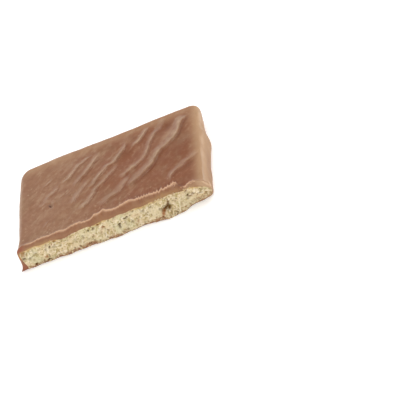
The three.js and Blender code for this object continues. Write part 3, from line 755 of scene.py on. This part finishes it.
def top_tones(x, y):
    pale, dark = ripple_tones(x, y)
    pale_specks, speck_shadows = specks(x, y)
    speckled = ramp(fine.layers(x / 0.6, y / 0.6, 9), 0, 0.5)
    shadow = bell(behind_lip(x, y), *SHADOW) * plateau(x, *SHADOW_X) * speckled
    # Painted shade in the burst bubble's hole.
    along, across = pit_frame(x, y, *HOLE_TURN)
    hole = bell(across, -0.15, 0.26) * bell(along, -0.25, 0.6)
    return np.maximum(pale, pale_specks), np.maximum(dark, speck_shadows) + shadow, hole


# Painted light on the walls that face the light, less of it on the right foot; the painted
# highlight along the right and rear shoulders; and the walls' share for roughness.
def wall_tones(x, y, z, uneven):
    painted_wall_light = np.maximum(ramp(x + 0.4 * uneven, *TAN_RIGHT), 0.5 * ramp(y, *TAN_BACK))
    painted_wall_light = np.maximum(painted_wall_light, 0.4 * ramp(x, *TAN_LEFT))
    foot = ramp(x, *FOOT_X) * ramp(y, *FOOT_Y) * ramp(z, *FOOT_Z)
    right = ramp(x, *RIM_X) * mix(0.5, 1, ramp(y, *RIM_Y))
    rear = ramp(x, *REAR_RIM_X) * ramp(y, *REAR_RIM_Y)
    rim = np.clip(bell(z, *RIM) * np.maximum(right, rear) * (0.5 + uneven), 0, 1)
    return {"painted_wall_light": painted_wall_light * (1 - 0.45 * foot), "rim": rim, "wall": ramp(z, *WALL_BAND)}


def broken_tones(x, z, depth_in, uneven):
    ends = np.maximum(ramp(x, *CRUST_RIGHT), 0.8 * ramp(x, *CRUST_LEFT))
    crust = ramp(depth_in + 0.3 * uneven, *CRUST) * mix(0.3, 1, ends) * ramp(z, *LIP_BAND)
    end = 0.4 * ramp(x, *END_PALE) + 0.6 * ramp(x, *END_PALER)
    red = ramp(x, *RED_X) * np.maximum(ramp(z, *RED_UP), 0.7 * ramp(z, *RED_LOW))
    thin = ramp(x, *THIN_X) * plateau(z, *THIN_Z)
    return {"crust": crust, "end": end, "left_end": red, "left_thin": thin}


def coating_tones(points, snap, depth_in):
    """Every tone's share at each point."""
    x, y, z = points.T
    whole = 1 - snap
    top = (z > TOP_FROM) * whole
    uneven = 0.5 * slow.layers(x / 1.6, y / 2.2, z / 2, count=3)
    lip, line = lip_tones(x, y, z, snap, depth_in)
    pale, dark, hole = top_tones(x, y)
    tones = {"snap": snap, "lip": lip, "sheen": pale * top * (1 - lip), "hole": hole * top,
             "shade": np.clip(dark * top, 0, 1),
             "bloom_and_painted_light": ramp(x + BLOOM_AND_LIGHT_TILT * y, *BLOOM_AND_LIGHT_X) * whole}
    walls, broken = wall_tones(x, y, z, uneven), broken_tones(x, z, depth_in, uneven)
    for where, more in ((whole, walls), (snap, broken)):
        tones.update({name: tone * where for name, tone in more.items()})
    tones["rim"] = np.maximum(tones["rim"], line)
    return tones


# ---- the biscuit

FACE_COLUMNS, FACE_UPPER, FACE_LOWER = 700, 36, 30
BURIED = 0.06  # how far the biscuit reaches into the chocolate
FLOOR_GAP = 0.02  # nothing dips under this height
STREAK_TURN = math.radians(55)  # direction of the crumb's streaks
FACE_Z = (0.4, 6.3)  # heights between which the small pits lie
PIT_LEAN, PIT_EDGE, PIT_DEPTH = 0.25, 1.3, 0.8  # slant, sharpness, share of the listed depth
EDGE_CALM = 0.4  # the relief dies out this far from the face's ends


def all_pits():
    """The listed pits, and small ones all over the face."""
    random = np.random.default_rng(11)
    pits = list(PITS)
    for _ in range(SMALL_PITS):
        size = 0.09 + 0.2 * random.random() ** 2
        x, z = random.uniform(-WIDTH / 2, WIDTH / 2), random.uniform(*FACE_Z)
        across, up = size * random.uniform(0.7, 1.2), size * random.uniform(0.9, 1.6)
        dark, brown = random.uniform(0.15, 0.6), random.choice([0, 0, 0.5])
        pits.append((x, z, across, up, 0.8 * size, dark, brown))
    return pits


def press_pits(x, z, depth):
    """Presses the pits in; returns how dark each place is with painted shade, and how warm its
    brown is.
    """
    pit_shade_and_brown, warm = np.zeros_like(x), np.zeros_like(x)
    for px, pz, across, up, deep, dark, brown in all_pits():
        reach = 2.2 * max(across, up)
        near = (np.abs(x - px) < reach) & (np.abs(z - pz) < reach)
        uneven = 1 + 0.5 * grain.layers(x[near] / 0.4, z[near] / 0.4, px)
        rise = z[near] - pz
        off = ((x[near] - px - PIT_LEAN * rise) / across) ** 2 + (rise / up) ** 2
        dent = np.exp(-np.maximum(off * uneven, 0) ** PIT_EDGE)
        depth[near] += PIT_DEPTH * deep * dent
        warm[near] = np.where(dark * dent > pit_shade_and_brown[near], brown, warm[near])
        pit_shade_and_brown[near] = np.maximum(pit_shade_and_brown[near], dark * dent)
    return pit_shade_and_brown, warm


def crumb_relief(x, z):
    """Depth behind the face, and the shares of the crumb's tones: painted shade in the grooves and
    painted highlight on the raised grain among them.
    """
    bend = 0.5 * slow.layers(x / 2.2, z / 2.2, 2)
    along, across = turned(x, z, STREAK_TURN)
    across = across + bend
    calm = mix(1, 0.3, ramp(grain.layers(x / 2.6, z / 2.0, 31), -0.15, 0.6))
    streak = calm * grain.layers(along / 0.9, across / 0.4)
    blotch = grain.layers(x / 2.4, z / 1.9, 20)
    coarse = calm * grain.layers(x / 0.42, z / 0.36, 8)
    small = grain.layers(x / 0.2, z / 0.2, 5)
    depth = 0.1 * blotch + 0.085 * streak + 0.08 * coarse + 0.05 * small
    pit_shade_and_brown, warm = press_pits(x, z, depth)
    groove_shade = ramp(0.8 * streak + 0.8 * coarse + 0.4 * small, 0.05, 1.1)
    grain_highlight = ramp(-0.8 * streak - 0.6 * coarse - 0.3 * small, 0.0, 1.0)
    green = ramp(grain.layers(x / 3.4, z / 2.6, 44), -0.1, 0.6)
    return depth, {"pit_shade_and_brown": pit_shade_and_brown, "warm": warm, "groove_shade": groove_shade, "grain_highlight": grain_highlight, "green": green,
                   "blotch": ramp(blotch, -0.4, 0.5)}


def crust_tones(x, z, body):
    """The toasted lower edge and left end, and the golden upper edge."""
    rough = slow.layers(x / 0.5, z / 0.4, 2.0, count=3)
    browned = course(BROWNING, x) + 0.45 * rough
    low = ramp(z + 0.3 * rough, body.base + 1.0, body.base + 0.2) * browned
    left = 0.8 * bell(x, -26.5, 0.7) * ramp(z, 3.6, 5.2)
    gold = ramp(z, body.top - 0.75 - 0.3 * rough, body.top) * (course(GOLDEN, x) + 0.3 * rough)
    return {"toast": np.clip(np.maximum(low, left), 0, 1), "gold": np.clip(gold, 0, 1)}


def build_biscuit():
    body, skin, walls, x, z = core_skin(BURIED, FACE_COLUMNS, FACE_UPPER, FACE_LOWER)
    depth, tones = crumb_relief(x, z)
    tones.update(crust_tones(x, z, body))
    calm = np.minimum(ramp(z, body.base, body.base + 0.25), 1 - ramp(z, body.top - 0.2, body.top))
    left, right = x[:, :1], x[:, -1:]
    calm = calm * ramp(x, left, left + EDGE_CALM) * ramp(x, right, right - EDGE_CALM)
    height = np.maximum(face_warp(x, z), FLOOR_GAP)
    numbers = skin.add(x, face_setback(x, z) + depth * mix(0.25, 1, calm), height)
    first, last = (np.array([wall[n] for wall in walls])[:, None] for n in (0, -1))
    table = np.concatenate([first, numbers, last], axis=1)
    for upper, lower in zip(table[:-1], table[1:]):
        skin.band(upper, lower)
    skin.zip(walls[0], table[0])
    skin.zip(table[-1], walls[-1])
    before = np.zeros(numbers[0, 0])
    return skin, {name: np.append(before, tone) for name, tone in tones.items()}


# ---- crumbs and flecks

# Bits of biscuit left clinging: from x, to x, from z, to z, how many, how brown.
CRUMB_ZONES = [
    (-27.4, -16, 0.1, 0.8, 60, 0.45), (-17, -7, 0.1, 0.9, 60, 0.6), (-7, -3, 0.05, 0.8, 26, 0.3),
    (-3, 1, 0.05, 0.7, 22, 0.7), (0, 9, 0.05, 1.1, 60, 0.3), (8.5, 13, 0.1, 0.9, 26, 0.7),
    (12.5, 19, 0.05, 1.3, 70, 0.25), (19, 26, 0.6, 1.8, 60, 0.45), (12, 22, 6.0, 6.5, 22, 0.4),
]
# Flecks of chocolate: from x, to x, shares of the way from the lip to the biscuit, how many.
FLECK_ZONES = [(16.8, 18.8, -0.1, 0.3, 9), (19.8, 23.8, 0, 0.4, 12), (6, 17, -0.12, 0.08, 26),
               (-24, 6, -0.08, 0.1, 16)]
CRUMB_SHAPE, FLECK_SHAPE = (1.2, 0.8, 0.8), (1.3, 0.7, 0.6)
CRUMB_OUT, FLECK_OUT, FLECK_RISE = 0.03, 0.05, 0.12  # before the face, and over the top

ball = bmesh.new()
bmesh.ops.create_icosphere(ball, subdivisions=2, radius=1)
ball.verts.index_update()
BALL = np.array([v.co for v in ball.verts])
BALL_FACES = [[v.index for v in face.verts] for face in ball.faces]
ball.free()


def add_bit(skin, random, x, y, z, size, stretch):
    bump = 1 + 0.35 * bit_grain(BALL[:, 0] * 1.4 + x, BALL[:, 1] * 1.4, BALL[:, 2] * 1.4 + z)
    bit = BALL * bump[:, None] * np.array(stretch) * size
    bx, bz = turned(bit[:, 0], bit[:, 2], -random.uniform(0, np.pi))
    first = skin.add(x + bx, y + bit[:, 1], np.maximum(z + bz, FLOOR_GAP))[0]
    skin.faces += [[v + first for v in face] for face in BALL_FACES]


def build_crumbs():
    random, skin, toast = np.random.default_rng(21), Skin(), []
    for x0, x1, z0, z1, count, brown in CRUMB_ZONES:
        for _ in range(count):
            x, z = random.uniform(x0, x1), random.uniform(z0, z1)
            size = 0.1 + 0.18 * random.random() ** 2
            add_bit(skin, random, x, face_setback(x, z) - CRUMB_OUT, z, size, CRUMB_SHAPE)
            toast += [(random.random() < brown) * random.uniform(0.4, 1)] * len(BALL)
    return skin, toast


def build_flecks():
    random, skin = np.random.default_rng(31), Skin()
    for x0, x1, from_share, to_share, count in FLECK_ZONES:
        for _ in range(count):
            x, t = random.uniform(x0, x1), random.uniform(from_share, to_share)
            y = mix(lip_setback(np.array([x]))[0], face_setback(x, HEIGHT - TOP_COAT), t)
            z = mix(HEIGHT + FLECK_RISE, HEIGHT - TOP_COAT, t)
            add_bit(skin, random, x, y - FLECK_OUT, z, random.uniform(0.08, 0.2), FLECK_SHAPE)
    return skin


# ---- materials


def material(name, fixed):
    made = bpy.data.materials.new(name)
    made.use_nodes = True
    nodes = made.node_tree.nodes
    nodes.clear()
    shader = nodes.new("ShaderNodeBsdfPrincipled")
    out = nodes.new("ShaderNodeOutputMaterial")
    made.node_tree.links.new(shader.outputs["BSDF"], out.inputs["Surface"])
    for key, value in fixed.items():
        shader.inputs[key].default_value = value
    return made, shader


class Nodes:
    def __init__(self, tree, place="Object"):
        self.tree = tree
        self.place = tree.nodes.new("ShaderNodeTexCoord").outputs[place]

    def link(self, value, socket):
        if isinstance(value, (int, float, tuple)):
            socket.default_value = value
        else:
            self.tree.links.new(value, socket)

    def add(self, kind, output, inputs, **settings):
        """A node with its inputs set or linked; returns one output."""
        node = self.tree.nodes.new(kind)
        for name, setting in settings.items():
            setattr(node, name, setting)
        for key, value in inputs.items():
            self.link(value, node.inputs[key])
        return node.outputs[output]

    def noise(self, size_mm, detail, rough=0.55):
        inputs = {"Scale": 1 / (size_mm * MM), "Detail": detail, "Roughness": rough}
        return self.add("ShaderNodeTexNoise", "Fac", {"Vector": self.place, **inputs})

    def attribute(self, name, times=1.0):
        share = self.add("ShaderNodeAttribute", "Fac", {}, attribute_name=name)
        return share if times == 1.0 else self.math("MULTIPLY", share, times)

    def math(self, operation, a, b):
        return self.add("ShaderNodeMath", 0, {0: a, 1: b}, operation=operation)

    def dot(self, a, b):
        return self.add("ShaderNodeVectorMath", "Value", {0: a, 1: b}, operation="DOT_PRODUCT")

    def span(self, value, low, high, out_low, out_high):
        inputs = dict(enumerate((value, low, high, out_low, out_high)))
        return self.add("ShaderNodeMapRange", 0, inputs, interpolation_type="SMOOTHSTEP")

    def colour(self, share, a, b):
        return self.add("ShaderNodeMix", 2, {"Factor": share, 6: a, 7: b}, data_type="RGBA")

    def mottle(self, tone, noise, low, high, most, colour):
        """Lays a colour over a tone where the noise is between low and high."""
        return self.colour(self.span(noise, low, high, 0, most), tone, colour)

    def coats(self, tone, coats):
        """Lays colours over a tone, each by its attribute and strength."""
        for name, strength, colour in coats:
            tone = self.colour(self.attribute(name, strength), tone, colour)
        return tone

    def bump(self, height, distance_mm, strength, **under):
        inputs = {"Distance": distance_mm * MM, "Strength": strength, "Height": height, **under}
        return self.add("ShaderNodeBump", "Normal", inputs)


def srgb(*levels):
    """Linear colour of 8-bit levels."""
    parts = [level / 255 for level in levels]
    tone = [v / 12.92 if v <= 0.04045 else ((v + 0.055) / 1.055) ** 2.4 for v in parts]
    return (*tone, 1.0)


CHOCOLATE_DEEP, CHOCOLATE_PALE = srgb(129, 79, 53), srgb(141, 101, 75)
# The pale bloom colour serves for random speckles and as the painted highlight on the ripples.
CHOCOLATE_OLIVE, CHOCOLATE_BLOOM_AND_HIGHLIGHT = srgb(138, 105, 77), srgb(180, 151, 120)
CHOCOLATE_SHADE, CHOCOLATE_BROKEN = srgb(112, 66, 42), srgb(143, 101, 72)
# Colours laid over the chocolate, one over the other: attribute, strength, colour.
# Painted light on the walls, painted shade, painted highlight on the ripples and specks, and
# painted shade in the bubble's hole.
TOP_COATS = [("painted_wall_light", 0.9, srgb(178, 142, 107)), ("shade", 0.7, CHOCOLATE_SHADE),
             ("sheen", 0.75, CHOCOLATE_BLOOM_AND_HIGHLIGHT), ("hole", 1.0, srgb(70, 36, 24))]
BROKEN_COATS = [("crust", 0.8, srgb(162, 125, 82)), ("end", 0.8, srgb(178, 145, 110)),
                ("left_end", 0.7, srgb(146, 76, 56)), ("left_thin", 0.8, srgb(170, 122, 74))]
# The pale lip, scuffed and with a painted highlight on its burr; the painted highlight along the
# shoulders.
LAST_COATS = [("lip", 0.9, srgb(213, 172, 138)), ("rim", 0.8, srgb(204, 170, 138))]


def chocolate():
    made, shader = material("milk_chocolate", {"IOR": 1.47, "Specular IOR Level": 0.32})
    n = Nodes(made.node_tree)
    # Paler towards the left, partly fat bloom and partly painted light, with noise.
    share = n.math("ADD", n.attribute("bloom_and_painted_light"), n.span(n.noise(6, 3), 0.3, 0.7, -0.15, 0.25))
    share = n.math("MINIMUM", n.math("MAXIMUM", share, 0.0), 1.0)
    tone = n.colour(share, CHOCOLATE_DEEP, CHOCOLATE_PALE)
    tone = n.mottle(tone, n.noise(4.5, 3, 0.6), 0.45, 0.68, 0.45, CHOCOLATE_OLIVE)
    speckle = n.noise(1.2, 4, 0.65)
    tone = n.mottle(tone, speckle, 0.5, 0.7, 0.22, CHOCOLATE_SHADE)
    tone = n.mottle(tone, speckle, 0.5, 0.3, 0.2, CHOCOLATE_BLOOM_AND_HIGHLIGHT)
    tone = n.coats(tone, TOP_COATS)
    broken = n.mottle(CHOCOLATE_BROKEN, n.noise(1.6, 3), 0.35, 0.7, 0.5, CHOCOLATE_DEEP)
    broken = n.coats(broken, BROKEN_COATS)
    tone = n.colour(n.attribute("snap"), tone, broken)
    n.link(n.coats(tone, LAST_COATS), shader.inputs["Base Color"])
    uneven = n.span(n.noise(3, 3), 0.3, 0.7, 0.34, 0.42)
    n.link(n.math("ADD", uneven, n.attribute("wall", 0.18)), shader.inputs["Roughness"])
    fine_bump = n.bump(n.noise(0.5, 3), 0.02, 0.5)
    n.link(n.bump(n.noise(2.4, 2), 0.05, 0.5, Normal=fine_bump), shader.inputs["Normal"])
    return made


CRUMB_PALE = srgb(210, 193, 157)
# The pits' painted shade, and the warm brown that some pits have.
CRUMB_PIT_SHADE, CRUMB_PIT_WARM = srgb(78, 50, 4), srgb(148, 88, 46)
# Blotches and a green tint at random, then painted highlight on the raised grain and painted shade
# in the grooves.
CRUMB_COATS = [("blotch", 0.5, srgb(212, 186, 147)), ("green", 0.4, srgb(203, 199, 158)),
               ("grain_highlight", 0.75, srgb(236, 222, 197)), ("groove_shade", 0.8, srgb(160, 139, 82))]
CRUST_COATS = [("gold", 0.85, srgb(190, 152, 88)), ("toast", 0.85, srgb(150, 102, 62))]


def crumb():
    made, shader = material("baked_crumb", {"Roughness": 0.9, "Specular IOR Level": 0.08})
    n = Nodes(made.node_tree)
    tone = n.coats(CRUMB_PALE, CRUMB_COATS)
    # Fine dots of painted shade in small pores.
    tone = n.mottle(tone, n.noise(0.35, 2), 0.58, 0.72, 0.3, CRUMB_PIT_SHADE)
    tone = n.coats(tone, CRUST_COATS)
    hole = n.colour(n.attribute("warm"), CRUMB_PIT_SHADE, CRUMB_PIT_WARM)
    n.link(n.colour(n.attribute("pit_shade_and_brown"), tone, hole), shader.inputs["Base Color"])
    n.link(n.bump(n.noise(0.25, 3), 0.06, 0.8), shader.inputs["Normal"])
    return made


# ---- the object

FLECK_LIP = 0.9  # the flecks take nearly the lip's pale tone, with its painted highlight

coating_skin, coating_shares = build_coating()
plain = coating_skin.all_points()
coat_low, coat_high = (np.array(corner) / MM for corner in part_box("chocolate_coating"))
middle_x = (coat_low[0] + coat_high[0]) / 2 - (plain[:, 0].min() + plain[:, 0].max()) / 2
offset = np.array([middle_x, coat_high[1] - plain[:, 1].max(), 0.0])

coated = chocolate()
coating = coating_skin.build("coating", coated, **coating_shares)
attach(coating, "root")
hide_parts("chocolate_coating")

fleck_skin = build_flecks()
flecks = fleck_skin.build("flecks", coated, lip=np.full(fleck_skin.count, FLECK_LIP))
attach(flecks, "root")

baked = crumb()
biscuit_skin, biscuit_shares = build_biscuit()
biscuit = biscuit_skin.build("biscuit", baked, **biscuit_shares)
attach(biscuit, "root")
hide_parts("graham_biscuit")

crumb_skin, crumb_toast = build_crumbs()
crumbs = crumb_skin.build("crumbs", baked, toast=crumb_toast)
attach(crumbs, "root")

# ---- floor, light and camera

WHITE_TABLE = {"Base Color": (0.95, 0.95, 0.95, 1), "Roughness": 0.9, "Specular IOR Level": 0.0,
               "Emission Color": (1, 1, 1, 1), "Emission Strength": 0.2}
# The light tent round an axis: brightness of its sides, of the dimmer shoulder above them and of
# the soft box at its top, and how high each gives way to the next.
TENT_UP = (0.412, 0.287, 0.865)
SIDE_LIGHT, SHOULDER_LIGHT, BOX_LIGHT = 1.28, 0.15, 3.3
SIDE_TO_SHOULDER, BOX_EDGE = (0.35, 0.72), (0.84, 0.93)
AIM, DISTANCE = Vector((21.97, 1.33, 0.0)), 357.3  # mm
AZIMUTH, ELEVATION, ROLL = map(math.radians, (16.998, 38.895, -31.86))

floor_mesh = bpy.data.meshes.new("floor")
F = 1.5  # half the floor's breadth, in metres
floor_mesh.from_pydata([(-F, -F, 0), (F, -F, 0), (F, F, 0), (-F, F, 0)], [], [(0, 1, 2, 3)])
floor_mesh.materials.append(material("white_table", WHITE_TABLE)[0])
floor = add_object("floor", floor_mesh)

scene = bpy.context.scene
scene.view_settings.view_transform = "Standard"

scene.world = world = bpy.data.worlds.new("light_tent")
world.use_nodes = True
tent = Nodes(world.node_tree, "Generated")
height = tent.dot(tent.place, TENT_UP)
sides = tent.span(height, *SIDE_TO_SHOULDER, SIDE_LIGHT, SHOULDER_LIGHT)
light = tent.math("ADD", sides, tent.span(height, *BOX_EDGE, 0, BOX_LIGHT))
background = world.node_tree.nodes["Background"]
background.inputs["Color"].default_value = (1, 1, 1, 1)
tent.link(light, background.inputs["Strength"])

level = Vector((math.cos(AZIMUTH), math.sin(AZIMUTH), 0))
look = Vector((-math.sin(AZIMUTH) * math.cos(ELEVATION), math.cos(AZIMUTH) * math.cos(ELEVATION),
               -math.sin(ELEVATION)))
right = level * math.cos(ROLL) + level.cross(look) * math.sin(ROLL)
up = right.cross(look)
camera_data = bpy.data.cameras.new("camera")
camera_data.sensor_width, camera_data.lens = 36, 126
camera = add_object("camera", camera_data)
spot = (AIM + Vector(offset) - look * DISTANCE) * MM
camera.matrix_world = Matrix.Translation(spot) @ Matrix((right, up, -look)).transposed().to_4x4()
scene.camera = camera
